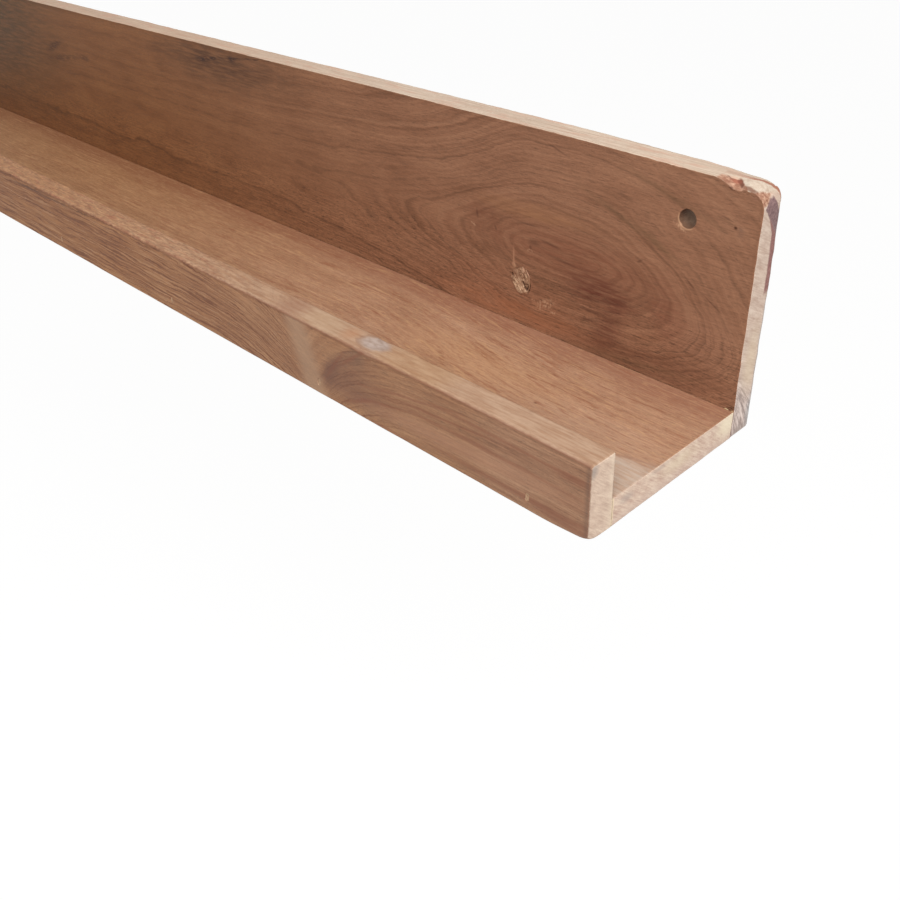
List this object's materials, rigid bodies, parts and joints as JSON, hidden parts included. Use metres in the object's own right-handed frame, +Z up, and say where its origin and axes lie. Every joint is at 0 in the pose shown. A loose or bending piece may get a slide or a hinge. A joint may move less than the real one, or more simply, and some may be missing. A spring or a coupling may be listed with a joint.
{
  "type": "wall shelf",
  "caption": "Long wooden wall shelf: a tall back board with hanging holes, a bottom board and a low front lip, butt-jointed with glue and nails.",
  "frame": {"origin": "On the wall face of the back board, midway between the two hanging holes", "axes": "+X along the shelf to the right as seen from the front, towards the worn corner; +Y into the wall; +Z up"},
  "size_m": [1, 0.1304, 0.132],
  "materials": {
    "back_wood": "matt, mid reddish brown with an oval figure",
    "bottom_wood": "matt, reddish tan with fine straight pores",
    "lip_wood": "matt, brown face with a pale tan top edge",
    "nail_steel": "dull",
    "wood_filler": "matt, pale tan",
    "dried_glue": "matt, pale amber"
  },
  "bodies": {
    "root": {"back_board": "back_wood", "bottom_board": "bottom_wood", "front_lip": "lip_wood", "back_glue_line": "dried_glue", "lip_glue_line": "dried_glue", "back_nails": "nail_steel", "lip_nails": "nail_steel", "lip_nail_fillers": "wood_filler", "knot_filler": "wood_filler"}
  },
  "joints": []
}
